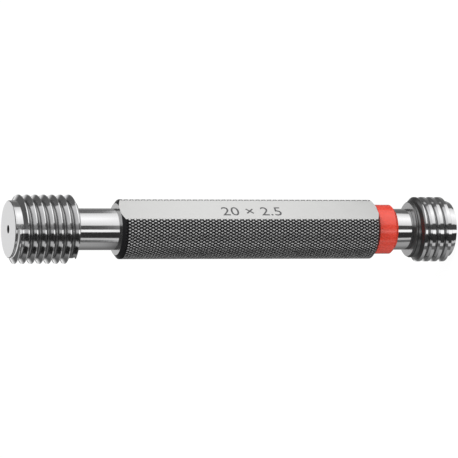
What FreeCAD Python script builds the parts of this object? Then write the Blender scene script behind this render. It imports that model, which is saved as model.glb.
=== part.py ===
"""A double-ended thread plug gauge: a GO member and a NO-GO member in a round, knurled handle.

Both members are single turned and ground pieces: a threaded head, and a shank that tapers one
in fifty and locks in a taper socket of the handle. A marking ring on the neck of the NO-GO
member tells the two ends apart. The gauge stands on the front face of the NO-GO member, with
the GO member on top. Its axis is Z, and the ground flat of the handle faces -Y.
"""

import FreeCAD, Part
import os
import Sketcher

doc = FreeCAD.newDocument("thread_plug_gauge")

# ---------------------------------------------------------------- driving dimensions (mm, deg)

SIZES = [
    # the thread that is gauged, in both members; the full V is that of a sharp thread
    ("pitch", 2.5, "pitch of the thread"),
    ("flank_angle", 30, "angle of each thread flank to a plane square to the axis"),
    ("crest_trim", 0.1, "how far the rough ridge stands above the ground crest"),
    ("ridge_root", 0.05, "how deep the ridge is rooted in the core"),
    # the GO member
    ("go_major_diameter", 20.0, "over the crests"),
    ("go_crest_share", 0.375, "crest height above the pitch line, as a share of the full V"),
    ("go_root_share", 0.364, "core depth below the pitch line, as a share of the full V"),
    ("go_land_step", 0.08, "from the core in to the plain lands before and behind the thread"),
    ("go_head_length", 19.5, "from the rear face of the head to its front face"),
    ("go_neck_length", 12.65, "from the handle to the rear face of the head"),
    ("go_rear_gap", 0.55, "from the rear face to the middle of the first ridge"),
    ("go_front_gap", 1.03, "from the middle of the last ridge to the front face"),
    ("go_rear_land", 0.2, "length of the land behind the thread"),
    ("go_front_land", 0.3, "length of the land before the thread"),
    ("go_rear_lead", 0.3, "length of the chamfer behind the thread"),
    ("go_front_lead", 0.4, "length of the chamfer before the thread"),
    ("go_start_angle", 160, "where the ridge starts, about the axis"),
    # the NO-GO member, with a shorter head and a truncated thread
    ("no_go_major_diameter", 19.1, "over the crests"),
    ("no_go_crest_share", 0.1155, "crest height above the pitch line, as a share of the full V"),
    ("no_go_root_share", 0.443, "core depth below the pitch line, as a share of the full V"),
    ("no_go_land_step", 0.24, "from the core in to the plain lands before and behind the thread"),
    ("no_go_head_length", 12.8, "from the rear face of the head to its front face"),
    ("no_go_neck_length", 11.05, "from the handle to the rear face of the head"),
    ("no_go_rear_gap", 1.37, "from the rear face to the middle of the first ridge"),
    ("no_go_front_gap", 2.05, "from the middle of the last ridge to the front face"),
    ("no_go_rear_land", 0.3, "length of the land behind the thread"),
    ("no_go_front_land", 0.5, "length of the land before the thread"),
    ("no_go_rear_lead", 1.45, "length of the chamfer behind the thread"),
    ("no_go_front_lead", 0.6, "length of the chamfer before the thread"),
    ("no_go_start_angle", 320, "where the ridge starts, about the axis"),
    # both heads
    ("edge_break", 0.2, "small chamfer on turned edges"),
    ("centre_diameter", 2.5, "mouth of the centre hole in the front face"),
    ("centre_pilot_diameter", 1.2, "drilled pilot of the centre hole"),
    ("centre_pilot_depth", 2.4, "depth of the pilot below the front face"),
    ("centre_half_angle", 30, "of the cone that a lathe centre fits"),
    # the taper that locks the members in the handle
    ("taper_ratio", 50, "length in which the diameter falls by one"),
    ("taper_mouth_diameter", 12.1, "of the neck, and of the taper at the end faces of the handle"),
    ("shank_length", 24.0, "of the taper inside the handle"),
    ("shank_chamfer", 0.5, "at the small end of the shank"),
    ("socket_clearance", 2.0, "from the end of the shank to the end of the socket's taper"),
    ("drill_half_angle", 59, "of the drill point that ends the socket"),
    # the handle
    ("handle_diameter", 17.4, "over the knurl"),
    ("handle_length", 79.0, "between its end faces"),
    ("handle_chamfer_length", 1.0, "of the end chamfers, along the axis"),
    ("handle_chamfer_width", 1.15, "of the end chamfers, across the axis"),
    ("handle_flat_distance", 7.4, "from the axis to the ground flat"),
    # the marking ring
    ("ring_wall", 1.2, "wall of the marking ring round the neck"),
    ("ring_length", 6.1, "of the marking ring"),
    ("ring_nose_length", 0.95, "of the slope at its outer end"),
    ("ring_lip", 0.25, "wall left at the end of the slope"),
    ("cutter_margin", 2.0, "how far a cutting outline reaches past what it cuts"),
]

sizes = doc.addObject("Spreadsheet::Sheet", "sizes")
for row, (alias, value, meaning) in enumerate(SIZES, start=1):
    sizes.set(f"A{row}", alias)
    sizes.set(f"B{row}", str(value))
    sizes.set(f"C{row}", meaning)
    sizes.setAlias(f"B{row}", alias)
doc.recompute()


def size(formula):
    """The present value of a formula in the sheet's names."""
    return float(sizes.evalExpression(formula))


# ---------------------------------------------------------------- levels along the gauge

HANDLE_BOTTOM = "(sizes.no_go_head_length + sizes.no_go_neck_length)"
HANDLE_MIDDLE = f"({HANDLE_BOTTOM} + sizes.handle_length / 2)"
HANDLE_TOP = f"({HANDLE_BOTTOM} + sizes.handle_length)"

MOUTH = "(sizes.taper_mouth_diameter / 2)"
MARGIN = "sizes.cutter_margin"


def taper_radius(depth):
    """Radius of the locking taper at a depth below the handle's end face."""
    return f"({MOUTH} - ({depth}) / sizes.taper_ratio / 2)"


# ---------------------------------------------------------------- building blocks

def new_body(label):
    body = doc.addObject("PartDesign::Body", label)
    body.Label = label
    return body


def origin_plane(body, role):
    """One of the body's own origin planes, such as XZ_Plane."""
    return next(item for item in body.Origin.OriginFeatures if item.Role == role)


def outline(body, name, role, corners):
    """A closed outline of straight runs on an origin plane. Each corner is a pair of formulas."""
    sketch = body.newObject("Sketcher::SketchObject", name)
    sketch.AttachmentSupport = [(origin_plane(body, role), "")]
    sketch.MapMode = "FlatFace"
    points = [FreeCAD.Vector(size(across), size(up), 0) for across, up in corners]
    count = len(points)
    for index in range(count):
        sketch.addGeometry(Part.LineSegment(points[index], points[(index + 1) % count]))
    for index in range(count):
        sketch.addConstraint(Sketcher.Constraint("Coincident", index, 2, (index + 1) % count, 1))
    for index, corner in enumerate(corners):
        for kind, formula, value in zip(("DistanceX", "DistanceY"), corner, points[index]):
            number = sketch.addConstraint(Sketcher.Constraint(kind, -1, 1, index, 1, value))
            label = f"{kind[-1].lower()}{index + 1}"
            sketch.renameConstraint(number, label)
            sketch.setExpression(f"Constraints.{label}", formula)
    return sketch


def turned(body, kind, name, corners):
    """A full turn of an outline about Z: PartDesign::Revolution adds it, PartDesign::Groove cuts."""
    sketch = outline(body, f"{name}_outline", "XZ_Plane", corners)
    feature = body.newObject(kind, name)
    feature.Profile = sketch
    feature.ReferenceAxis = (sketch, ["V_Axis"])
    feature.Angle = 360
    feature.Refine = False
    return feature


# ---------------------------------------------------------------- the two gauging members

def gauging_member(label, prefix):
    """A member in its own frame: the handle's end face at Z = 0, the head above, the shank below.

    The ridge of the thread is swept rough and then ground: one grooving cut brings its crest to
    the major diameter, gives the head its leads and plain lands, and squares off its rear face.
    """
    own = f"sizes.{prefix}_"
    full_v = "(sizes.pitch / 2 / tan(sizes.flank_angle))"
    crest = f"({own}major_diameter / 2)"
    pitch_radius = f"({crest} - {own}crest_share * {full_v})"
    core = f"({pitch_radius} - {own}root_share * {full_v})"
    land = f"({core} - {own}land_step)"
    rear = f"{own}neck_length"
    front = f"({rear} + {own}head_length)"
    shank_end = taper_radius("sizes.shank_length")

    body = new_body(label)
    turned(body, "PartDesign::Revolution", f"{prefix}_blank", [
        ("0", "-sizes.shank_length"),
        (f"{shank_end} - sizes.shank_chamfer", "-sizes.shank_length"),
        (shank_end, "-sizes.shank_length + sizes.shank_chamfer"),
        (MOUTH, "0"),
        (MOUTH, rear),
        (core, rear),
        (core, front),
        ("0", front),
    ])

    ridge_middle = f"({rear} + {own}rear_gap)"
    rough_crest = f"({crest} + sizes.crest_trim)"
    rooted = f"({core} - sizes.ridge_root)"

    def half_width(radius):
        return f"(sizes.pitch / 4 - ({radius} - {pitch_radius}) * tan(sizes.flank_angle))"

    ridge_outline = outline(body, f"{prefix}_ridge_outline", "XZ_Plane", [
        (rooted, f"{ridge_middle} - {half_width(rooted)}"),
        (rough_crest, f"{ridge_middle} - {half_width(rough_crest)}"),
        (rough_crest, f"{ridge_middle} + {half_width(rough_crest)}"),
        (rooted, f"{ridge_middle} + {half_width(rooted)}"),
    ])
    ridge_outline.AttachmentOffset.Rotation.Axis = FreeCAD.Vector(0, 1, 0)
    ridge_outline.setExpression("AttachmentOffset.Rotation.Angle", f"{own}start_angle")
    ridge = body.newObject("PartDesign::AdditiveHelix", f"{prefix}_ridge")
    ridge.Profile = ridge_outline
    ridge.ReferenceAxis = (ridge_outline, ["V_Axis"])
    ridge.Mode = "pitch-height-angle"
    ridge.LeftHanded = False
    ridge.Refine = False
    ridge.setExpression("Pitch", "sizes.pitch")
    ridge.setExpression("Height", f"{own}head_length - {own}rear_gap - {own}front_gap")

    inside = f"(({MOUTH} + {land}) / 2)"
    outside = f"({rough_crest} + {MARGIN})"
    rear_land_end = f"({rear} + sizes.edge_break + {own}rear_land)"
    front_land_end = f"({front} - sizes.edge_break - {own}front_land)"
    turned(body, "PartDesign::Groove", f"{prefix}_grinding", [
        (inside, f"{rear} - {MARGIN}"),
        (inside, rear),
        (f"{land} - sizes.edge_break", rear),
        (land, f"{rear} + sizes.edge_break"),
        (land, rear_land_end),
        (crest, f"{rear_land_end} + {own}rear_lead"),
        (crest, f"{front_land_end} - {own}front_lead"),
        (land, front_land_end),
        (land, f"{front} - sizes.edge_break"),
        (f"{land} - sizes.edge_break - {MARGIN}", f"{front} + {MARGIN}"),
        (outside, f"{front} + {MARGIN}"),
        (outside, f"{rear} - {MARGIN}"),
    ])

    cone_mouth = "(sizes.centre_diameter / 2)"
    pilot = "(sizes.centre_pilot_diameter / 2)"
    turned(body, "PartDesign::Groove", f"{prefix}_centre_hole", [
        ("0", front),
        (cone_mouth, front),
        (pilot, f"{front} - ({cone_mouth} - {pilot}) / tan(sizes.centre_half_angle)"),
        (pilot, f"{front} - sizes.centre_pilot_depth"),
        ("0", f"{front} - sizes.centre_pilot_depth"),
    ])
    return body


# ---------------------------------------------------------------- the handle

def handle_bar():
    """The round bar in its own frame, its middle at the origin: chamfers, sockets and the flat."""
    half = "(sizes.handle_length / 2)"
    outer = "(sizes.handle_diameter / 2)"
    rim = f"({outer} - sizes.handle_chamfer_width)"
    chamfer_start = f"({half} - sizes.handle_chamfer_length)"

    body = new_body("handle")
    turned(body, "PartDesign::Revolution", "handle_bar", [
        ("0", f"-{half}"),
        (rim, f"-{half}"),
        (outer, f"-{chamfer_start}"),
        (outer, chamfer_start),
        (rim, half),
        ("0", half),
    ])

    taper_length = "(sizes.shank_length + sizes.socket_clearance)"
    socket_end = taper_radius(taper_length)
    socket = turned(body, "PartDesign::Groove", "upper_socket", [
        ("0", half),
        (MOUTH, half),
        (socket_end, f"{half} - {taper_length}"),
        ("0", f"{half} - {taper_length} - {socket_end} / tan(sizes.drill_half_angle)"),
    ])
    lower_socket = body.newObject("PartDesign::Mirrored", "lower_socket")
    lower_socket.Originals = [socket]
    lower_socket.MirrorPlane = (origin_plane(body, "XY_Plane"), [""])
    body.Tip = lower_socket

    flat_outline = outline(body, "flat_outline", "XY_Plane", [
        (f"-({outer} + {MARGIN})", "-sizes.handle_flat_distance"),
        (f"-({outer} + {MARGIN})", f"-({outer} + {MARGIN})"),
        (f"{outer} + {MARGIN}", f"-({outer} + {MARGIN})"),
        (f"{outer} + {MARGIN}", "-sizes.handle_flat_distance"),
    ])
    flat = body.newObject("PartDesign::Pocket", "ground_flat")
    flat.Profile = flat_outline
    flat.Type = "Length"
    flat.Midplane = True
    flat.setExpression("Length", f"sizes.handle_length + {MARGIN}")
    return body


# ---------------------------------------------------------------- the marking ring

def marking_ring():
    """The ring on the NO-GO neck, in that member's frame: it butts on the handle's end face."""
    outer = f"({MOUTH} + sizes.ring_wall)"
    end = "sizes.ring_length"

    body = new_body("marking_ring")
    turned(body, "PartDesign::Revolution", "ring_tube", [
        (MOUTH, "0"),
        (MOUTH, end),
        (f"{MOUTH} + sizes.ring_lip", end),
        (outer, f"{end} - sizes.ring_nose_length"),
        (outer, "sizes.edge_break"),
        (f"{outer} - sizes.edge_break", "0"),
    ])
    return body


# ---------------------------------------------------------------- the assembly

def place(body, height, turned_over=False):
    """Puts a body at a height on the gauge's axis, upright or turned over about X."""
    if turned_over:
        body.Placement.Rotation = FreeCAD.Rotation(FreeCAD.Vector(1, 0, 0), 180)
    body.setExpression("Placement.Base.z", height)
    return body


sub_parts = [
    place(gauging_member("go_member", "go"), HANDLE_TOP),
    place(handle_bar(), HANDLE_MIDDLE),
    place(marking_ring(), HANDLE_BOTTOM, turned_over=True),
    place(gauging_member("no_go_member", "no_go"), HANDLE_BOTTOM, turned_over=True),
]
doc.recompute()

# ---------------------------------------------------------------- checks, then one file a piece

for item in doc.Objects:
    if {"Invalid", "Error"} & set(item.State):
        raise RuntimeError(f"{item.Label} failed to compute")

for item in doc.Objects:
    if item.TypeId in ("PartDesign::Groove", "PartDesign::Pocket", "PartDesign::Mirrored"):
        if item.Shape.Volume > item.BaseFeature.Shape.Volume - 1e-3:
            raise RuntimeError(f"{item.Label} cuts nothing away")

for body in sub_parts:
    if body.Shape.isNull() or not body.Shape.isValid() or len(body.Shape.Solids) != 1:
        raise RuntimeError(f"{body.Label} is not one valid solid")

os.makedirs("parts", exist_ok=True)
for body in sub_parts:
    body.Shape.exportStep(f"parts/{body.Label}.step")
    print(f"{body.Label}: {body.Shape.Volume:.1f} cubic mm")
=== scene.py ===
"""Looks of a double-ended thread plug gauge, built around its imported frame.

The gauge stands on its NO-GO end with its axis along Z. Its two gauging members and its marking
ring are the frame's own solids with finishes of their own. The knurled handle is a new piece, and
so are the numbers on its ground flat.
"""

import math

import bmesh
import bpy
from bpy.props import (
    FloatProperty, FloatVectorProperty, IntProperty, PointerProperty, StringProperty,
)
from mathutils import Matrix, Vector


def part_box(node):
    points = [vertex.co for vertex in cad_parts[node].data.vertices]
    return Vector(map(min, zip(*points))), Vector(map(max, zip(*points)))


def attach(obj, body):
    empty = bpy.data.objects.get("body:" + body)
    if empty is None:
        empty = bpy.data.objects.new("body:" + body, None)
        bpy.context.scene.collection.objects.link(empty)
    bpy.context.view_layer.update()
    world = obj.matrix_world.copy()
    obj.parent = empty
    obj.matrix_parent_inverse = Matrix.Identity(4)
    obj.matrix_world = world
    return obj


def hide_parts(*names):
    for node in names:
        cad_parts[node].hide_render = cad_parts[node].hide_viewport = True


bl_info = {
    "name": "Thread Plug Gauge",
    "version": (1, 0, 0),
    "blender": (4, 5, 0),
    "location": "View3D > Sidebar > Plug Gauge",
    "description": "Knurled handle, polished thread members and studio of a thread plug gauge",
    "category": "Object",
}

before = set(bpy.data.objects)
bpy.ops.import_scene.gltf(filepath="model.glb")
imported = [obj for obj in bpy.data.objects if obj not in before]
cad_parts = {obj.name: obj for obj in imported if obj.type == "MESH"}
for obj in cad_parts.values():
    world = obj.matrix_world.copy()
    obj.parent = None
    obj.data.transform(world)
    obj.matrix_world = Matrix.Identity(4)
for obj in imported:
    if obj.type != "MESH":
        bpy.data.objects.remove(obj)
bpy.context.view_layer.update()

GO_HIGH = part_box("go_member")[1]
NO_GO_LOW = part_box("no_go_member")[0]
HANDLE_LOW, HANDLE_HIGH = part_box("handle")

MM = 0.001
# Width over which one finish turns into the next.
EDGE = 0.05 * MM
# Range of noise that holds most of a surface, from its darkest grain to its lightest.
GRAIN = (0.3, 0.7)
# Distances that count as none: between levels, between welded points, and from a cutting plane.
SAME, WELD, ON_PLANE = 1e-6, 1e-7, 1e-8


# ---------------------------------------------------------------- sizes and colours

class HandleSettings(bpy.types.PropertyGroup):
    """Sizes and finish of the knurled handle"""
    knurl_starts: IntProperty(
        name="Knurl Starts", description="Grooves of each hand round the handle",
        default=57, min=12, max=120)
    knurl_lead: FloatProperty(
        name="Knurl Pitch Along", description="Length of one diamond along the axis",
        default=1.75 * MM, unit="LENGTH")
    knurl_depth: FloatProperty(
        name="Knurl Depth", description="From the top of a diamond to the bottom of the grooves",
        default=0.26 * MM, unit="LENGTH")
    knurl_flank: FloatProperty(
        name="Knurl Flank", description="Width of each sloping side of a diamond",
        default=0.25 * MM, unit="LENGTH")
    run_in: FloatProperty(
        name="Run-in", description="Length next to the GO end's chamfer that stays black",
        default=0.9 * MM, unit="LENGTH")
    chamfer_length: FloatProperty(
        name="Chamfer Along", description="Length of the end chamfers along the axis",
        default=1.0 * MM, unit="LENGTH")
    chamfer_width: FloatProperty(
        name="Chamfer Across", description="Width of the end chamfers across the axis",
        default=1.15 * MM, unit="LENGTH")
    mouth_radius: FloatProperty(
        name="Socket Mouth", description="Radius of the taper sockets at the end faces",
        default=6.05 * MM, unit="LENGTH")
    socket_depth: FloatProperty(
        name="Socket Depth", description="Length of each taper socket",
        default=26.0 * MM, unit="LENGTH")
    taper_ratio: FloatProperty(
        name="Taper Ratio", description="Length in which the socket's diameter falls by one",
        default=50.0)
    black: FloatVectorProperty(
        name="Blackened Steel", description="Colour of the blackened surface",
        subtype="COLOR", size=3, min=0, max=1, default=(0.010, 0.010, 0.011))
    worn: FloatVectorProperty(
        name="Worn Tops", description="Colour of the rubbed tops of the diamonds",
        subtype="COLOR", size=3, min=0, max=1, default=(0.80, 0.80, 0.80))
    ground: FloatVectorProperty(
        name="Ground Steel", description="Colour of the ground flat",
        subtype="COLOR", size=3, min=0, max=1, default=(0.88, 0.88, 0.87))
    faced: FloatVectorProperty(
        name="Faced Steel", description="Colour of the turned end faces",
        subtype="COLOR", size=3, min=0, max=1, default=(0.42, 0.42, 0.42))
    groove_roughness: FloatProperty(
        name="Groove Roughness", description="Roughness of the blackened grooves",
        default=0.45, min=0, max=1)
    top_roughness: FloatProperty(
        name="Top Roughness", description="Roughness of the rubbed tops of the diamonds",
        default=0.26, min=0, max=1)
    chamfer_roughness: FloatProperty(
        name="Chamfer Roughness", description="Roughness of the blackened end chamfers",
        default=0.35, min=0, max=1)


class NumberSettings(bpy.types.PropertyGroup):
    """The size numbers on the ground flat"""
    words: StringProperty(
        name="Numbers", description="Plain numbers on the ground flat", default="20 × 2.5")
    height: FloatProperty(
        name="Height", description="Height of a digit", default=3.75 * MM, unit="LENGTH")
    length: FloatProperty(
        name="Length", description="Length of the row of numbers",
        default=18.2 * MM, unit="LENGTH")
    middle: FloatProperty(
        name="Middle", description="Height of the row's middle above the base",
        default=63.0 * MM, unit="LENGTH")
    shift: FloatProperty(
        name="Shift", description="How far the row sits off the middle of the flat",
        default=-0.7 * MM, unit="LENGTH")
    film: FloatProperty(
        name="Film", description="Thickness of the dark marking", default=0.01 * MM,
        unit="LENGTH")
    ink: FloatVectorProperty(
        name="Ink", description="Colour of the marking",
        subtype="COLOR", size=3, min=0, max=1, default=(0.07, 0.07, 0.072))
    roughness: FloatProperty(
        name="Ink Roughness", description="Roughness of the marking",
        default=0.55, min=0, max=1)


class SteelSettings(bpy.types.PropertyGroup):
    """Finish of the gauging members, where its zones lie, and the painted shade in some of them
    """
    colour: FloatVectorProperty(
        name="Gauge Steel", description="Colour of the lapped steel",
        subtype="COLOR", size=3, min=0, max=1, default=(0.76, 0.76, 0.765))
    roughness: FloatProperty(
        name="Roughness", description="Roughness of the lapped steel", default=0.09,
        min=0, max=1)
    face_roughness: FloatProperty(
        name="Face Roughness", description="Roughness of the ground front faces",
        default=0.3, min=0, max=1)
    go_head: FloatProperty(
        name="GO Head", description="From the rear of the GO head to its front face",
        default=19.5 * MM, unit="LENGTH")
    no_go_head: FloatProperty(
        name="NO-GO Head", description="From the rear of the NO-GO head to its front face",
        default=12.8 * MM, unit="LENGTH")
    no_go_ground: FloatProperty(
        name="NO-GO Rear", description="Ground length behind the NO-GO thread",
        default=2.0 * MM, unit="LENGTH")
    go_core: FloatProperty(
        name="GO Core", description="Radius at the bottom of the GO thread",
        default=8.4 * MM, unit="LENGTH")
    no_go_core: FloatProperty(
        name="NO-GO Core", description="Radius at the bottom of the NO-GO thread",
        default=8.34 * MM, unit="LENGTH")
    front_land: FloatProperty(
        name="Front Land", description="Bright length between the front face and the roots",
        default=2.6 * MM, unit="LENGTH")
    # The roots of the threads carry painted shade: the next settings give how far up the flanks
    # it reaches, its brightness and the roots' roughness.
    root_height: FloatProperty(
        name="Root Height", description="How far up the flanks the duller roots reach",
        default=0.5 * MM, unit="LENGTH")
    root_shade_tone: FloatProperty(
        name="Root Tone", description="Brightness in the roots of the threads",
        default=0.45, min=0, max=1)
    root_roughness: FloatProperty(
        name="Root Roughness", description="Roughness in the roots of the threads",
        default=0.28, min=0, max=1)
    # Painted shade on the ground zone behind a thread: its brightness.
    rear_shade_tone: FloatProperty(
        name="Rear Tone", description="Brightness of the ground zone behind a thread",
        default=0.28, min=0, max=1)
    # Painted shade on the rear faces of the heads, for their dark reflection: its brightness.
    rear_face_shade_tone: FloatProperty(
        name="Rear Face Tone", description="Brightness of the rear faces of the heads",
        default=0.5, min=0, max=1)
    rear_roughness: FloatProperty(
        name="Rear Roughness", description="Roughness behind a thread, faces among it",
        default=0.32, min=0, max=1)
    hole_radius: FloatProperty(
        name="Centre Hole", description="Radius at the mouth of the centre holes",
        default=1.25 * MM, unit="LENGTH")


class RingSettings(bpy.types.PropertyGroup):
    """Finish of the marking ring"""
    colour: FloatVectorProperty(
        name="Ring Red", description="Colour of the plastic",
        subtype="COLOR", size=3, min=0, max=1, default=(0.66, 0.045, 0.022))


class StudioSettings(bpy.types.PropertyGroup):
    """Floor, light and camera"""
    floor_size: FloatProperty(
        name="Floor Size", description="Width of the floor", default=12.0, unit="LENGTH")
    world_strength: FloatProperty(
        name="World Strength", description="Brightness of the pale surroundings", default=0.76)
    lamp_power: FloatProperty(
        name="Lamp Power", description="Power of the soft lamp", default=7.0, unit="POWER")
    view_turn: FloatProperty(
        name="View Turn", description="Direction from the gauge to the camera, about Z",
        default=math.radians(220.0), subtype="ANGLE")
    view_rise: FloatProperty(
        name="View Rise", description="Angle of the camera above the aim point",
        default=math.radians(17.9), subtype="ANGLE")
    view_distance: FloatProperty(
        name="View Distance", description="From the aim point to the camera",
        default=1.3191, unit="LENGTH")
    aim_height: FloatProperty(
        name="Aim Height", description="Height of the aim point on the axis",
        default=0.0682, unit="LENGTH")
    lens: FloatProperty(
        name="Lens", description="Focal length in millimetres", default=354.6)
    shift: FloatProperty(
        name="Lens Shift", description="How far the picture is set off the gauge's middle",
        default=0.0005)


# ---------------------------------------------------------------- small helpers

def place_mesh(name, bm, materials):
    """Turns a bmesh into an object of the scene."""
    mesh = bpy.data.meshes.new(name)
    bm.to_mesh(mesh)
    bm.free()
    for material in materials:
        mesh.materials.append(material)
    thing = bpy.data.objects.new(name, mesh)
    bpy.context.scene.collection.objects.link(thing)
    return thing


def new_piece(name, bm, materials):
    """Turns a bmesh into a piece that rides on the gauge's one body."""
    piece = place_mesh(name, bm, materials)
    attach(piece, "root")
    return piece


def dress(node, material):
    """Gives one of the frame's own solids its finish."""
    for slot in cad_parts[node].material_slots:
        slot.material = material


# ---------------------------------------------------------------- shader node helpers

def new_material(name):
    """A material with its Principled shader, returned as (material, nodes, links, shader)."""
    material = bpy.data.materials.new(name)
    material.use_nodes = True
    nodes, links = material.node_tree.nodes, material.node_tree.links
    return material, nodes, links, nodes["Principled BSDF"]


def rgba(colour):
    """A colour with full alpha, as sockets take it."""
    return (*colour, 1.0)


def shade(colour, factor):
    """A colour made brighter or darker."""
    return tuple(min(1.0, part * factor) for part in colour)


def group_socket(tree, name, kind, way, default=None):
    """Adds an input or an output to a node group."""
    socket = tree.interface.new_socket(name=name, socket_type=kind, in_out=way)
    if default is not None:
        socket.default_value = default


def feed(links, socket, value):
    """Links a node's output into a socket, or sets a plain value there."""
    if isinstance(value, bpy.types.NodeSocket):
        links.new(value, socket)
    else:
        socket.default_value = value


def maths(nodes, links, operation, *values):
    """A Math node on links or plain numbers."""
    node = nodes.new("ShaderNodeMath")
    node.operation = operation
    for socket, value in zip(node.inputs, values):
        feed(links, socket, value)
    return node.outputs[0]


def product(nodes, links, first, *others):
    """Links or plain numbers multiplied together."""
    for other in others:
        first = maths(nodes, links, "MULTIPLY", first, other)
    return first


def spread(nodes, links, value, low, high, to_low=0.0, to_high=1.0):
    """Maps a value from one range to another."""
    node = nodes.new("ShaderNodeMapRange")
    for name, number in (("Value", value), ("From Min", low), ("From Max", high),
                         ("To Min", to_low), ("To Max", to_high)):
        feed(links, node.inputs[name], number)
    return node.outputs["Result"]


def between(nodes, links, value, low, high):
    """A mask that is 1 from one level to another."""
    return product(nodes, links, spread(nodes, links, value, low - EDGE, low + EDGE),
                   spread(nodes, links, value, high + EDGE, high - EDGE))


def blend(nodes, links, mask, first, second, way="MIX"):
    """A colour between two by a mask, each a link or a plain colour."""
    node = nodes.new("ShaderNodeMix")
    node.data_type = "RGBA"
    node.blend_type = way
    feed(links, node.inputs["Factor"], mask)
    for name, colour in (("A", first), ("B", second)):
        plain = not isinstance(colour, bpy.types.NodeSocket)
        feed(links, node.inputs[name], rgba(colour) if plain else colour)
    return node.outputs["Result"]


def choose(nodes, links, mask, first, second):
    """A number between two by a mask."""
    node = nodes.new("ShaderNodeMix")
    for name, value in (("Factor", mask), ("A", first), ("B", second)):
        feed(links, node.inputs[name], value)
    return node.outputs["Result"]


def relief(nodes, links, height, distance, strength, shader):
    """Feeds a height into the shader's normal."""
    bump = nodes.new("ShaderNodeBump")
    bump.inputs["Distance"].default_value = distance
    bump.inputs["Strength"].default_value = strength
    links.new(height, bump.inputs["Height"])
    links.new(bump.outputs["Normal"], shader.inputs["Normal"])


def height_in(nodes, links, source="Object"):
    """The Z part of a piece's own coordinates, or of the surroundings' direction."""
    coordinates = nodes.new("ShaderNodeTexCoord")
    parts = nodes.new("ShaderNodeSeparateXYZ")
    links.new(coordinates.outputs[source], parts.inputs[0])
    return parts.outputs["Z"]


def turned_lay_group():
    """Fine rings left by turning and lapping: bands over the radius and the height."""
    name = "Turned Lay"
    if name in bpy.data.node_groups:
        return bpy.data.node_groups[name]
    tree = bpy.data.node_groups.new(name, "ShaderNodeTree")
    group_socket(tree, "Vector", "NodeSocketVector", "INPUT")
    group_socket(tree, "Lines per Metre", "NodeSocketFloat", "INPUT", 9000.0)
    group_socket(tree, "Lay", "NodeSocketFloat", "OUTPUT")
    group_socket(tree, "Radius", "NodeSocketFloat", "OUTPUT")
    nodes, links = tree.nodes, tree.links
    entry, leave = nodes.new("NodeGroupInput"), nodes.new("NodeGroupOutput")
    parts = nodes.new("ShaderNodeSeparateXYZ")
    links.new(entry.outputs["Vector"], parts.inputs[0])
    squares = [product(nodes, links, part, part) for part in parts.outputs[:2]]
    radius = maths(nodes, links, "SQRT", maths(nodes, links, "ADD", *squares))
    rings = nodes.new("ShaderNodeCombineXYZ")
    for name, place in (("X", radius), ("Y", parts.outputs["Z"])):
        links.new(product(nodes, links, place, entry.outputs["Lines per Metre"]),
                  rings.inputs[name])
    noise = nodes.new("ShaderNodeTexNoise")
    noise.inputs["Scale"].default_value = 1.0
    noise.inputs["Detail"].default_value = 2.0
    links.new(rings.outputs[0], noise.inputs["Vector"])
    links.new(noise.outputs["Fac"], leave.inputs["Lay"])
    links.new(radius, leave.inputs["Radius"])
    return tree


def speckle_group():
    """Uneven tone of a ground or blackened surface, from fine grain and broad clouds."""
    name = "Speckle"
    if name in bpy.data.node_groups:
        return bpy.data.node_groups[name]
    tree = bpy.data.node_groups.new(name, "ShaderNodeTree")
    group_socket(tree, "Vector", "NodeSocketVector", "INPUT")
    group_socket(tree, "Grain Scale", "NodeSocketFloat", "INPUT", 3000.0)
    group_socket(tree, "Cloud Scale", "NodeSocketFloat", "INPUT", 150.0)
    group_socket(tree, "Mask", "NodeSocketFloat", "OUTPUT")
    nodes, links = tree.nodes, tree.links
    entry, leave = nodes.new("NodeGroupInput"), nodes.new("NodeGroupOutput")
    layers = []
    for scale in ("Grain Scale", "Cloud Scale"):
        noise = nodes.new("ShaderNodeTexNoise")
        noise.inputs["Detail"].default_value = 3.0
        links.new(entry.outputs["Vector"], noise.inputs["Vector"])
        links.new(entry.outputs[scale], noise.inputs["Scale"])
        layers.append(noise.outputs["Fac"])
    links.new(product(nodes, links, maths(nodes, links, "ADD", *layers), 0.5),
              leave.inputs["Mask"])
    return tree


def place_group(nodes, links, tree, **values):
    """Places a shader node group on the piece's own coordinates."""
    node = nodes.new("ShaderNodeGroup")
    node.node_tree = tree
    coordinates = nodes.new("ShaderNodeTexCoord")
    links.new(coordinates.outputs["Object"], node.inputs["Vector"])
    for socket, value in values.items():
        node.inputs[socket.replace("_", " ")].default_value = value
    return node


# ---------------------------------------------------------------- finishes

# Roughness of the ground flat and of the turned end faces.
GROUND_ROUGHNESS, FACED_ROUGHNESS = 0.34, 0.24
# Lowest and highest roughness of the ring's plastic.
RING_ROUGHNESS = (0.17, 0.25)
# Painted shade in the centre holes: their brightness.
HOLE_SHADE_TONE = 0.06


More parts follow.
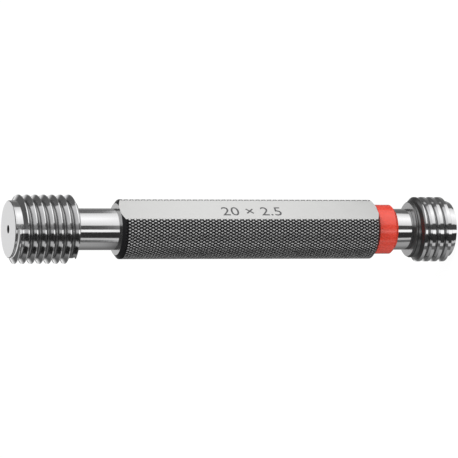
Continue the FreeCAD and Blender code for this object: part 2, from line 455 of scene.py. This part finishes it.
def lapped_steel(settings, name, front, rear, core):
    """Hardened, lapped steel with faint turned rings: matt on the ground front face, with painted
    shade behind the thread, on the rear faces of the heads, in the thread's roots and in the
    centre hole. Front is the level of the front face, rear the two levels of the ground zone
    behind the thread, and core the radius at the thread's bottom."""
    material, nodes, links, shader = new_material(name)
    shader.inputs["Metallic"].default_value = 1.0
    lay = place_group(nodes, links, turned_lay_group(), Lines_per_Metre=9000.0)
    radius = lay.outputs["Radius"]
    height = height_in(nodes, links)
    way = 1 if front > rear[1] else -1
    face = spread(nodes, links, height, front - way * 2 * EDGE, front - way * EDGE)
    rear_face_start = rear[1] - 2 * EDGE
    # Painted shade behind the thread and on the rear faces of the heads.
    behind = between(nodes, links, height, rear[0], rear_face_start)
    rear_face = between(nodes, links, height, rear_face_start, rear[1] + 2 * EDGE)
    land_end = front - way * settings.front_land
    # Painted shade in the thread's roots, which are also rougher there.
    root = product(
        nodes, links,
        spread(nodes, links, radius, core - 0.05 * MM, core - 0.02 * MM),
        spread(nodes, links, radius, core + settings.root_height,
               core + settings.root_height * 0.5),
        spread(nodes, links, height, land_end, land_end - way * 0.2 * MM))
    # Painted shade in the centre hole.
    hole = spread(nodes, links, radius, settings.hole_radius + 0.01 * MM,
                  settings.hole_radius - 0.03 * MM)
    colour = blend(nodes, links, lay.outputs["Lay"],
                   shade(settings.colour, 0.96), shade(settings.colour, 1.03))
    finish = spread(nodes, links, lay.outputs["Lay"], *GRAIN,
                    settings.roughness * 0.9, settings.roughness * 1.2)
    # Each mask below darkens the colour by its tone as painted shade, except the front face,
    # whose tone is 1 and which only turns matt.
    for mask, tone, roughness in (
            (root, settings.root_shade_tone, settings.root_roughness),
            (behind, settings.rear_shade_tone, settings.rear_roughness),
            (rear_face, settings.rear_face_shade_tone, settings.rear_roughness),
            (face, 1.0, settings.face_roughness),
            (hole, HOLE_SHADE_TONE, settings.face_roughness)):
        colour = blend(nodes, links, mask, colour, shade(settings.colour, tone))
        finish = choose(nodes, links, mask, finish, roughness)
    links.new(colour, shader.inputs["Base Color"])
    links.new(finish, shader.inputs["Roughness"])
    relief(nodes, links, lay.outputs["Lay"], 0.001 * MM, 0.12, shader)
    return material


def blackened_knurl(settings, outer_radius):
    """Blackened steel, rubbed to bright metal on the tops of the diamonds."""
    material, nodes, links, shader = new_material("blackened_knurl")
    lay = place_group(nodes, links, turned_lay_group())
    grain = place_group(nodes, links, speckle_group())
    tops = spread(nodes, links, lay.outputs["Radius"],
                  outer_radius - 0.4 * settings.knurl_depth,
                  outer_radius - 0.05 * settings.knurl_depth)
    chamfer = HANDLE_HIGH.z - settings.chamfer_length
    rubbed = product(
        nodes, links, tops,
        spread(nodes, links, grain.outputs["Mask"], 0.35, 0.6, 0.55, 1.0),
        spread(nodes, links, height_in(nodes, links), chamfer - settings.run_in,
               chamfer - 0.5 * settings.run_in, 1.0, 0.0))
    links.new(blend(nodes, links, rubbed, settings.black, settings.worn),
              shader.inputs["Base Color"])
    links.new(rubbed, shader.inputs["Metallic"])
    shader.inputs["Specular IOR Level"].default_value = 0.15
    links.new(spread(nodes, links, rubbed, 0.0, 1.0,
                     settings.groove_roughness, settings.top_roughness),
              shader.inputs["Roughness"])
    relief(nodes, links, grain.outputs["Mask"], 0.01 * MM, 0.3, shader)
    return material


def blackened_turned(settings):
    """The turned end chamfers, blackened."""
    material, nodes, links, shader = new_material("blackened_turned")
    shader.inputs["Metallic"].default_value = 0.2
    lay = place_group(nodes, links, turned_lay_group(), Lines_per_Metre=6000.0)
    links.new(blend(nodes, links, lay.outputs["Lay"],
                    shade(settings.black, 0.6), shade(settings.black, 1.2)),
              shader.inputs["Base Color"])
    shader.inputs["Roughness"].default_value = settings.chamfer_roughness
    relief(nodes, links, lay.outputs["Lay"], 0.01 * MM, 0.3, shader)
    return material


def ground_steel(name, colour, roughness):
    """A face ground or faced matt, with a fine uneven tone."""
    material, nodes, links, shader = new_material(name)
    shader.inputs["Metallic"].default_value = 1.0
    grain = place_group(nodes, links, speckle_group(), Grain_Scale=5000.0, Cloud_Scale=260.0)
    links.new(blend(nodes, links, grain.outputs["Mask"],
                    shade(colour, 0.92), shade(colour, 1.06)),
              shader.inputs["Base Color"])
    links.new(spread(nodes, links, grain.outputs["Mask"], *GRAIN,
                     roughness - 0.05, roughness + 0.06), shader.inputs["Roughness"])
    relief(nodes, links, grain.outputs["Mask"], 0.01 * MM, 0.2, shader)
    return material


def marking_ink(settings):
    """The dark marking of the numbers."""
    material, nodes, links, shader = new_material("marking_ink")
    grain = place_group(nodes, links, speckle_group(), Grain_Scale=6000.0)
    links.new(blend(nodes, links, grain.outputs["Mask"],
                    shade(settings.ink, 0.8), shade(settings.ink, 1.25)),
              shader.inputs["Base Color"])
    shader.inputs["Roughness"].default_value = settings.roughness
    return material


def ring_plastic(settings):
    """Moulded red plastic with a soft gloss."""
    material, nodes, links, shader = new_material("ring_plastic")
    grain = place_group(nodes, links, speckle_group(), Grain_Scale=1800.0, Cloud_Scale=200.0)
    links.new(blend(nodes, links, grain.outputs["Mask"],
                    shade(settings.colour, 0.93), shade(settings.colour, 1.07)),
              shader.inputs["Base Color"])
    links.new(spread(nodes, links, grain.outputs["Mask"], *GRAIN, *RING_ROUGHNESS),
              shader.inputs["Roughness"])
    shader.inputs["Specular IOR Level"].default_value = 0.9
    shader.inputs["Subsurface Weight"].default_value = 0.05
    shader.inputs["Subsurface Scale"].default_value = 0.3 * MM
    relief(nodes, links, grain.outputs["Mask"], 0.01 * MM, 0.05, shader)
    return material


# ---------------------------------------------------------------- the knurled handle

# Places of the handle's other finishes after the knurl's own.
TURNED, GROUND, FACED = 1, 2, 3
# Depth of the drill point that ends a socket, as a share of its radius, and the radius of the
# small ring that closes to a point.
DRILL_POINT, DRILL_TIP = 0.6, 1e-5
# Faces within this share of the knurl's root radius are the sockets' own.
SOCKET_SHARE = 0.9


def cut(bm, point, normal, clear):
    """Splits everything along a plane, and clears what lies on the normal's side if asked."""
    bmesh.ops.bisect_plane(
        bm, geom=bm.verts[:] + bm.edges[:] + bm.faces[:], dist=ON_PLANE,
        plane_co=point, plane_no=normal, clear_outer=clear)


def diamond_sheet(handle, turn_length, length):
    """A flat sheet of truncated pyramids, as wide as the handle's turn and as long as it is."""
    cell = turn_length / handle.knurl_starts
    rows = handle.knurl_starts + math.ceil(length / handle.knurl_lead) + 4
    bm = bmesh.new()
    slant = (Matrix.Diagonal((cell / math.sqrt(2), handle.knurl_lead / math.sqrt(2), 1, 1))
             @ Matrix.Rotation(math.radians(45), 4, "Z"))
    bmesh.ops.create_grid(bm, x_segments=rows, y_segments=rows, size=rows / 2, matrix=slant)
    margin = Vector((cell, handle.knurl_lead, 0))
    for axis, half in ((Vector((1, 0, 0)), turn_length / 2), (Vector((0, 1, 0)), length / 2)):
        for way in (axis, -axis):
            far = [f for f in bm.faces
                   if f.calc_center_median().dot(way) > half + margin.dot(axis)]
            bmesh.ops.delete(bm, geom=far, context="FACES")
    bmesh.ops.inset_individual(bm, faces=bm.faces[:], thickness=handle.knurl_flank,
                               depth=handle.knurl_depth, use_even_offset=True)
    for axis, half in ((Vector((1, 0, 0)), turn_length / 2), (Vector((0, 1, 0)), length / 2)):
        for way in (axis, -axis):
            cut(bm, way * half, way, True)
    return bm


def step_in(bm, edges, radius, height):
    """Draws a ring of edges in to a new radius and height, and returns the new ring."""
    made = bmesh.ops.extrude_edge_only(bm, edges=edges)["geom"]
    for vert in [item for item in made if isinstance(item, bmesh.types.BMVert)]:
        across = vert.co.xy.normalized() * radius
        vert.co = (across.x, across.y, height)
    return [item for item in made if isinstance(item, bmesh.types.BMEdge)]


def knurled_bar(handle):
    """The handle: the sheet wrapped round, its ends turned to the chamfers, sockets and flat."""
    outer = HANDLE_HIGH.x
    middle = (HANDLE_LOW.z + HANDLE_HIGH.z) / 2
    half = (HANDLE_HIGH.z - HANDLE_LOW.z) / 2
    root = outer - handle.knurl_depth
    turn_length = 2 * math.pi * outer
    bm = diamond_sheet(handle, turn_length, 2 * half)

    slope = handle.chamfer_width / handle.chamfer_length
    chamfer_start = half - handle.chamfer_length
    root_meets = chamfer_start + handle.knurl_depth / slope
    for level in (chamfer_start, (chamfer_start + root_meets) / 2, root_meets):
        for way in (Vector((0, 1, 0)), Vector((0, -1, 0))):
            cut(bm, way * level, way, False)

    for vert in bm.verts:
        across, along, lift = vert.co
        angle = math.pi / 2 + across / outer
        radius = min(root + lift, outer - max(0.0, abs(along) - chamfer_start) * slope)
        vert.co = (radius * math.cos(angle), radius * math.sin(angle), middle + along)
    bmesh.ops.remove_doubles(bm, verts=bm.verts, dist=WELD)

    for way in (1, -1):
        end = middle + way * half
        ring = [e for e in bm.edges if e.is_boundary
                and all(abs(v.co.z - end) < SAME for v in e.verts)]
        small = handle.mouth_radius - handle.socket_depth / handle.taper_ratio / 2
        ring = step_in(bm, ring, handle.mouth_radius, end)
        ring = step_in(bm, ring, small, end - way * handle.socket_depth)
        depth = handle.socket_depth + small * DRILL_POINT
        ring = step_in(bm, ring, DRILL_TIP, end - way * depth)
        tip = {v for e in ring for v in e.verts}
        bmesh.ops.pointmerge(bm, verts=list(tip), merge_co=(0, 0, next(iter(tip)).co.z))

    flat = HANDLE_LOW.y
    cut(bm, Vector((0, flat, 0)), Vector((0, -1, 0)), True)
    open_edges = [e for e in bm.edges if e.is_boundary]
    bmesh.ops.contextual_create(bm, geom=open_edges)
    bmesh.ops.recalc_face_normals(bm, faces=bm.faces)

    ends = (HANDLE_LOW.z, HANDLE_HIGH.z)
    for face in bm.faces:
        centre = face.calc_center_median()
        if all(abs(v.co.y - flat) < SAME for v in face.verts):
            face.material_index = GROUND
        elif any(all(abs(v.co.z - end) < SAME for v in face.verts) for end in ends):
            face.material_index = FACED
        elif abs(centre.z - middle) > chamfer_start or centre.xy.length < root * SOCKET_SHARE:
            face.material_index = TURNED
    return bm


# ---------------------------------------------------------------- operators, one a piece

# How far the painted shade behind the NO-GO thread reaches past its ground length.
PAST_GROUND = 0.5 * MM
# Distance between points of the numbers that are merged, before they get their size.
GLYPH_WELD = 1e-5


class GAUGE_OT_members(bpy.types.Operator):
    """Gives the GO and NO-GO members their lapped steel"""
    bl_idname = "gauge.members"
    bl_label = "Gauging Members"

    def execute(self, context):
        steel = context.scene.gauge_steel
        go_rear = GO_HIGH.z - steel.go_head
        dress("go_member", lapped_steel(
            steel, "go_steel", GO_HIGH.z, (go_rear, go_rear + 2 * EDGE), steel.go_core))
        no_go_rear = NO_GO_LOW.z + steel.no_go_head
        dress("no_go_member", lapped_steel(
            steel, "no_go_steel", NO_GO_LOW.z,
            (no_go_rear - steel.no_go_ground - PAST_GROUND, no_go_rear), steel.no_go_core))
        return {"FINISHED"}


class GAUGE_OT_handle(bpy.types.Operator):
    """Builds the knurled handle with its ground flat"""
    bl_idname = "gauge.handle"
    bl_label = "Knurled Handle"

    def execute(self, context):
        handle = context.scene.gauge_handle
        finishes = [
            blackened_knurl(handle, HANDLE_HIGH.x),
            blackened_turned(handle),
            ground_steel("ground_steel", handle.ground, GROUND_ROUGHNESS),
            ground_steel("faced_steel", handle.faced, FACED_ROUGHNESS),
        ]
        piece = new_piece("knurled_handle", knurled_bar(handle), finishes)
        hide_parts("handle")
        return {"FINISHED"}


class GAUGE_OT_numbers(bpy.types.Operator):
    """Marks the plain size numbers on the ground flat"""
    bl_idname = "gauge.numbers"
    bl_label = "Size Numbers"

    def execute(self, context):
        numbers = context.scene.gauge_numbers
        text = bpy.data.curves.new("size_numbers", "FONT")
        text.body = numbers.words
        text.align_x, text.align_y = "CENTER", "CENTER"
        text.size = 1.0
        text.resolution_u = 4
        writer = bpy.data.objects.new("size_numbers_writer", text)
        context.scene.collection.objects.link(writer)
        context.view_layer.update()
        flat_mesh = bpy.data.meshes.new_from_object(
            writer.evaluated_get(context.evaluated_depsgraph_get()))
        bpy.data.objects.remove(writer)
        bm = bmesh.new()
        bm.from_mesh(flat_mesh)
        bmesh.ops.remove_doubles(bm, verts=bm.verts, dist=GLYPH_WELD)
        low = Vector([min(v.co[i] for v in bm.verts) for i in range(3)])
        high = Vector([max(v.co[i] for v in bm.verts) for i in range(3)])
        bmesh.ops.translate(bm, verts=bm.verts, vec=-(low + high) / 2)
        spans = high - low
        bmesh.ops.scale(bm, verts=bm.verts,
                        vec=(numbers.length / spans.x, numbers.height / spans.y, 1))
        film = bmesh.ops.extrude_face_region(bm, geom=bm.faces[:])["geom"]
        bmesh.ops.translate(bm, vec=(0, 0, numbers.film),
                            verts=[v for v in film if isinstance(v, bmesh.types.BMVert)])
        bmesh.ops.recalc_face_normals(bm, faces=bm.faces)
        upright = Matrix(((0, 1, 0, numbers.shift),
                          (0, 0, -1, HANDLE_LOW.y),
                          (-1, 0, 0, numbers.middle),
                          (0, 0, 0, 1)))
        bmesh.ops.transform(bm, matrix=upright, verts=bm.verts)
        piece = new_piece("size_numbers", bm, [marking_ink(numbers)])
        return {"FINISHED"}


class GAUGE_OT_ring(bpy.types.Operator):
    """Gives the marking ring its red plastic"""
    bl_idname = "gauge.ring"
    bl_label = "Marking Ring"

    def execute(self, context):
        dress("marking_ring", ring_plastic(context.scene.gauge_ring))
        return {"FINISHED"}


# ---------------------------------------------------------------- the studio

# Brightness of the reflector round the foot of the gauge, by the angle in degrees from the
# direction of the camera: soft white panels with dark flags between them. The bright members
# see its inner and outer parts, and the handle sees the part between them.
MEMBER_PANELS = (
    (-180, 0.22), (-132, 0.18), (-103, 0.38), (-78, 0.42), (-76, 0.14), (-62, 0.14),
    (-60, 0.62), (-50, 0.62), (-48, 0.035), (-17, 0.035), (-15, 1.25), (-3.5, 1.25),
    (-1.5, 0.07), (19, 0.07), (21, 0.85), (60, 1.35), (94, 0.85), (98, 0.65), (100, 0.16),
    (130, 0.16), (155, 0.34), (180, 0.22),
)
HANDLE_PANELS = (
    (-180, 0.2), (-136, 0.1), (-118, 0.03), (-104, 0.02), (-75, 0.02), (-71, 0.75),
    (-54, 0.75), (-50, 0.03), (-17, 0.03), (-15, 0.8), (-3.5, 0.9), (-1.5, 0.3),
    (17, 0.4), (24, 0.88), (50, 0.9), (75, 0.9), (115, 0.9), (128, 0.3), (180, 0.2),
)
BRIGHTEST = 1.5
# Brightness of the handle's part of the reflector, at its inner and outer ends.
HANDLE_GLOW = (0.79, 1.14)
# Inner and outer radius of the reflector, and how far it lies above the floor.
CARD_NEAR, CARD_FAR, CARD_LIFT = 6.5 * MM, 40.0, 0.1 * MM
# Radius of the steel nearest to the floor, and where the panels stop drawing together for it.
FOOT_RADIUS, FOOT_NEAR, FOOT_FAR = 8.3 * MM, 35 * MM, 60 * MM
# The slanting foot of the tall white panel: depth of the land that mirrors it, its angles at
# the near and the far end, its brightness below and above, and the angles where it ends.
SLANT_DEPTH, SLANT_ANGLES, SLANT_LIGHT, SLANT_ENDS = 1.7 * MM, (-14, 17), (0.4, 1.3), (70, 60)
SLANT_SOFTNESS = 0.004
# Brightness of the floor to the eye and in mirrors, how much of it hides its shadows, and the
# colour of its paper.
FLOOR_LIGHT, FLOOR_SHARE, FLOOR_COLOUR = 1.05, 0.9, (0.85, 0.85, 0.85)


def turns(angle):
    """The place on the sweep of an angle in degrees from the direction of the camera."""
    return angle / 360 + 0.5


def ramp(nodes, links, value, stops, top=1.0):
    """A grey ramp through (place, brightness) stops."""
    node = nodes.new("ShaderNodeValToRGB")
    links.new(value, node.inputs["Fac"])
    elements = node.color_ramp.elements
    for place, brightness in stops[1:-1]:
        elements.new(place)
    for element, (place, brightness) in zip(elements, stops):
        element.position = place
        element.color = rgba([brightness / top] * 3)
    return node.outputs["Color"]


def turned_sweep(nodes, links, studio, source):
    """Turns about Z, from 0 straight behind the gauge through 0.5 in front of it to 1."""
    coordinates = nodes.new("ShaderNodeTexCoord")
    turned = nodes.new("ShaderNodeMapping")
    turned.inputs["Rotation"].default_value = (0, 0, -studio.view_turn)
    links.new(coordinates.outputs[source], turned.inputs["Vector"])
    sweep = nodes.new("ShaderNodeTexGradient")
    sweep.gradient_type = "RADIAL"
    links.new(turned.outputs["Vector"], sweep.inputs["Vector"])
    return sweep.outputs["Fac"]


def mirrored_at(studio, level):
    """How far out an upright mirror at this level shows the floor to the camera."""
    eye = studio.aim_height + studio.view_distance * math.sin(studio.view_rise)
    away = studio.view_distance * math.cos(studio.view_rise)
    return FOOT_RADIUS + level * away / (eye - level)


def drawn_to_foot(nodes, links, sweep, distance):
    """The sweep, drawn together near the foot, where the same direction of reflection meets
    the card at a smaller angle about the axis."""
    beyond = maths(nodes, links, "SUBTRACT", product(nodes, links, distance, 2.0), FOOT_RADIUS)
    opening = maths(nodes, links, "DIVIDE",
                    spread(nodes, links, distance, FOOT_NEAR, FOOT_FAR, FOOT_RADIUS, 0.0), beyond)
    opening = maths(nodes, links, "ADD", opening, 1.0)
    sweep = product(nodes, links, maths(nodes, links, "SUBTRACT", sweep, 0.5), opening)
    return maths(nodes, links, "ADD", sweep, 0.5)


def slanting_foot(nodes, links, studio, sweep, distance, panels):
    """The panels, with the slanting foot that the land in front of the GO thread mirrors."""
    near, far = (mirrored_at(studio, GO_HIGH.z - depth) for depth in (SLANT_DEPTH, 0))
    slant = spread(nodes, links, distance, near, far, *(turns(angle) for angle in SLANT_ANGLES))
    slant = spread(nodes, links, maths(nodes, links, "SUBTRACT", sweep, slant),
                   -SLANT_SOFTNESS, SLANT_SOFTNESS, *(light / BRIGHTEST for light in SLANT_LIGHT))
    land = product(
        nodes, links,
        spread(nodes, links, distance, near - 2 * MM, near),
        spread(nodes, links, distance, far + 4 * MM, far + 2 * MM),
        spread(nodes, links, sweep, *(turns(angle) for angle in SLANT_ENDS)))
    return blend(nodes, links, land, panels, slant)


def card_glow(nodes, links, studio):
    """Brightness of the reflector, as a share of the brightest."""
    place = nodes.new("ShaderNodeTexCoord")
    far_off = nodes.new("ShaderNodeVectorMath")
    far_off.operation = "LENGTH"
    links.new(place.outputs["Object"], far_off.inputs[0])
    distance = far_off.outputs["Value"]
    sweep = drawn_to_foot(nodes, links, turned_sweep(nodes, links, studio, "Object"), distance)
    members, handle = (
        ramp(nodes, links, sweep, [(turns(angle), light) for angle, light in panels], BRIGHTEST)
        for panels in (MEMBER_PANELS, HANDLE_PANELS))
    inner, outer = (mirrored_at(studio, level) for level in (HANDLE_LOW.z, HANDLE_HIGH.z))
    handle = blend(nodes, links, 1.0, handle,
                   spread(nodes, links, distance, inner, outer, *HANDLE_GLOW), "MULTIPLY")
    zone = product(nodes, links, *(
        spread(nodes, links, distance,
               mirrored_at(studio, level - way * MM), mirrored_at(studio, level + way * MM))
        for level, way in ((HANDLE_LOW.z, 1), (HANDLE_HIGH.z, -1))))
    panels = blend(nodes, links, zone, members, handle)
    return slanting_foot(nodes, links, studio, sweep, distance, panels)


def reflector_card(studio):
    """The card's material, which only glows."""
    material = bpy.data.materials.new("reflector_card")
    material.use_nodes = True
    nodes, links = material.node_tree.nodes, material.node_tree.links
    nodes.clear()
    glow = nodes.new("ShaderNodeEmission")
    glow.inputs["Strength"].default_value = BRIGHTEST
    links.new(card_glow(nodes, links, studio), glow.inputs["Color"])
    output = nodes.new("ShaderNodeOutputMaterial")
    links.new(glow.outputs[0], output.inputs["Surface"])
    return material


def add_reflector(studio):
    """A wide ring of card on the floor, seen only by polished surfaces."""
    bm = bmesh.new()
    ends = [bm.verts.new((radius, 0, CARD_LIFT)) for radius in (CARD_NEAR, CARD_FAR)]
    edge = bm.edges.new(ends)
    bmesh.ops.spin(bm, geom=[*ends, edge], cent=(0, 0, 0), axis=(0, 0, 1),
                   angle=2 * math.pi, steps=64, use_merge=True)
    bmesh.ops.recalc_face_normals(bm, faces=bm.faces)
    card = place_mesh("reflector", bm, [reflector_card(studio)])
    card.visible_camera = False
    card.visible_diffuse = False
    card.visible_transmission = False
    card.visible_volume_scatter = False
    card.visible_shadow = False


def floor_paper():
    """White paper that shows a trace of shadow to the eye."""
    material, nodes, links, shader = new_material("floor_paper")
    shader.inputs["Base Color"].default_value = rgba(FLOOR_COLOUR)
    shader.inputs["Roughness"].default_value = 1.0
    shader.inputs["Specular IOR Level"].default_value = 0.0
    light = nodes.new("ShaderNodeEmission")
    light.inputs["Strength"].default_value = FLOOR_LIGHT
    path = nodes.new("ShaderNodeLightPath")
    seen = path.outputs["Is Camera Ray"]
    for ray in ("Is Glossy Ray", "Is Transmission Ray"):
        seen = maths(nodes, links, "MAXIMUM", seen, path.outputs[ray])
    mix = nodes.new("ShaderNodeMixShader")
    links.new(product(nodes, links, seen, FLOOR_SHARE), mix.inputs["Fac"])
    links.new(shader.outputs[0], mix.inputs[1])
    links.new(light.outputs[0], mix.inputs[2])
    links.new(mix.outputs[0], nodes["Material Output"].inputs["Surface"])
    return material


def add_floor(studio):
    """The pale floor: white to the eye, with a trace of the gauge's shadow."""
    bm = bmesh.new()
    bmesh.ops.create_grid(bm, x_segments=1, y_segments=1, size=studio.floor_size / 2)
    place_mesh("floor", bm, [floor_paper()])


# Brightness of the surroundings in polished steel, by height: 0 is straight down, 0.5 level
# and 1 straight up. White panels stand behind the gauge and beside it, and the rest is dark.
PANEL = ((0, 0.95), (0.5, 0.95), (0.61, 0.92), (0.71, 0.85), (0.75, 0.2), (1, 0.1))
CANOPY = ((0, 0.12), (0.5, 0.12), (0.7, 0.12), (0.75, 0.11), (1, 0.1))
SHADE = ((0, 0.06), (0.5, 0.06), (0.7, 0.08), (0.75, 0.1), (1, 0.1))
# Where each of them stands, by the angle in turns from straight behind the gauge.
PANEL_SPAN = ((0, 1), (0.035, 1), (0.06, 0), (0.54, 0), (0.58, 1), (0.82, 1), (0.86, 0),
              (0.94, 0), (0.965, 1), (1, 1))
SHADE_SPAN = ((0, 0), (0.22, 0), (0.3, 1), (0.6, 1), (0.65, 0), (1, 0))


def set_world(studio):
    """Pale surroundings, pure white to the eye, with dark cloth above in polished steel."""
    world = bpy.data.worlds.new("studio")
    bpy.context.scene.world = world
    world.use_nodes = True
    nodes, links = world.node_tree.nodes, world.node_tree.links
    background = nodes["Background"]
    background.inputs["Color"].default_value = (1, 1, 1, 1)
    rise = maths(nodes, links, "ARCSINE", height_in(nodes, links, "Generated"))
    height = spread(nodes, links, rise, -math.pi / 2, math.pi / 2)
    sweep = turned_sweep(nodes, links, studio, "Generated")
    mirrored = ramp(nodes, links, height, CANOPY)
    for levels, span in ((SHADE, SHADE_SPAN), (PANEL, PANEL_SPAN)):
        mirrored = blend(nodes, links, ramp(nodes, links, sweep, span), mirrored,
                         ramp(nodes, links, height, levels))
    path = nodes.new("ShaderNodeLightPath")
    seen = spread(nodes, links, path.outputs["Is Camera Ray"], 0, 1, studio.world_strength, 1.0)
    links.new(choose(nodes, links, path.outputs["Is Glossy Ray"], seen, mirrored),
              background.inputs["Strength"])


# The lamp's turn from the camera and its rise, how far off it stands, and the side of its square.
LAMP_TURN, LAMP_RISE = math.radians(60), math.radians(50)
LAMP_DISTANCE, LAMP_SIZE = 0.9, 0.5


def direction(turn, rise):
    """The unit vector at a turn about Z and a rise above the level."""
    return Vector((math.cos(turn) * math.cos(rise), math.sin(turn) * math.cos(rise),
                   math.sin(rise)))


def add_lamp(studio):
    """A soft square lamp that looks at the middle of the gauge."""
    lamp = bpy.data.lights.new("key_lamp", "AREA")
    lamp.shape = "SQUARE"
    lamp.size = LAMP_SIZE
    lamp.energy = studio.lamp_power
    back = direction(studio.view_turn + LAMP_TURN, LAMP_RISE)
    holder = bpy.data.objects.new("key_lamp", lamp)
    holder.location = Vector((0, 0, studio.aim_height)) + back * LAMP_DISTANCE
    holder.rotation_euler = back.to_track_quat("Z", "Y").to_euler()
    holder.visible_glossy = False
    bpy.context.scene.collection.objects.link(holder)


def add_camera(studio):
    """The camera, turned on its side so that the standing gauge lies level in the picture."""
    back = direction(studio.view_turn, studio.view_rise)
    up = direction(studio.view_turn + math.pi / 2, 0)
    right = up.cross(back)
    camera = bpy.data.cameras.new("camera")
    camera.lens = studio.lens
    camera.sensor_width = 36.0
    camera.clip_start = 0.01
    camera.shift_y = studio.shift
    holder = bpy.data.objects.new("camera", camera)
    holder.matrix_world = Matrix.Translation(
        Vector((0, 0, studio.aim_height)) + back * studio.view_distance
    ) @ Matrix((right, up, back)).transposed().to_4x4()
    bpy.context.scene.collection.objects.link(holder)
    bpy.context.scene.camera = holder


class GAUGE_OT_studio(bpy.types.Operator):
    """Sets the floor, the light, the reflecting cards and the camera"""
    bl_idname = "gauge.studio"
    bl_label = "Studio"

    def execute(self, context):
        studio = context.scene.gauge_studio
        add_floor(studio)
        set_world(studio)
        add_reflector(studio)
        add_lamp(studio)
        add_camera(studio)
        context.scene.view_settings.view_transform = "Standard"
        return {"FINISHED"}


# ---------------------------------------------------------------- panel and registration

class GAUGE_PT_panel(bpy.types.Panel):
    """The gauge's pieces and sizes"""
    bl_label = "Thread Plug Gauge"
    bl_idname = "GAUGE_PT_panel"
    bl_space_type = "VIEW_3D"
    bl_region_type = "UI"
    bl_category = "Plug Gauge"

    def draw(self, context):
        layout = self.layout
        for operator in OPERATORS:
            layout.operator(operator.bl_idname)
        for name, group in SETTINGS:
            box = layout.box()
            settings = getattr(context.scene, name)
            for setting in group.__annotations__:
                box.prop(settings, setting)


SETTINGS = (
    ("gauge_handle", HandleSettings),
    ("gauge_numbers", NumberSettings),
    ("gauge_steel", SteelSettings),
    ("gauge_ring", RingSettings),
    ("gauge_studio", StudioSettings),
)
OPERATORS = (GAUGE_OT_members, GAUGE_OT_handle, GAUGE_OT_numbers, GAUGE_OT_ring,
             GAUGE_OT_studio)


def register():
    for name, group in SETTINGS:
        bpy.utils.register_class(group)
        setattr(bpy.types.Scene, name, PointerProperty(type=group))
    for operator in (*OPERATORS, GAUGE_PT_panel):
        bpy.utils.register_class(operator)


def unregister():
    for operator in reversed((*OPERATORS, GAUGE_PT_panel)):
        bpy.utils.unregister_class(operator)
    for name, group in reversed(SETTINGS):
        delattr(bpy.types.Scene, name)
        bpy.utils.unregister_class(group)


def main():
    register()
    bpy.ops.gauge.members()
    bpy.ops.gauge.handle()
    bpy.ops.gauge.numbers()
    bpy.ops.gauge.ring()
    bpy.ops.gauge.studio()


if __name__ == "__main__":
    main()
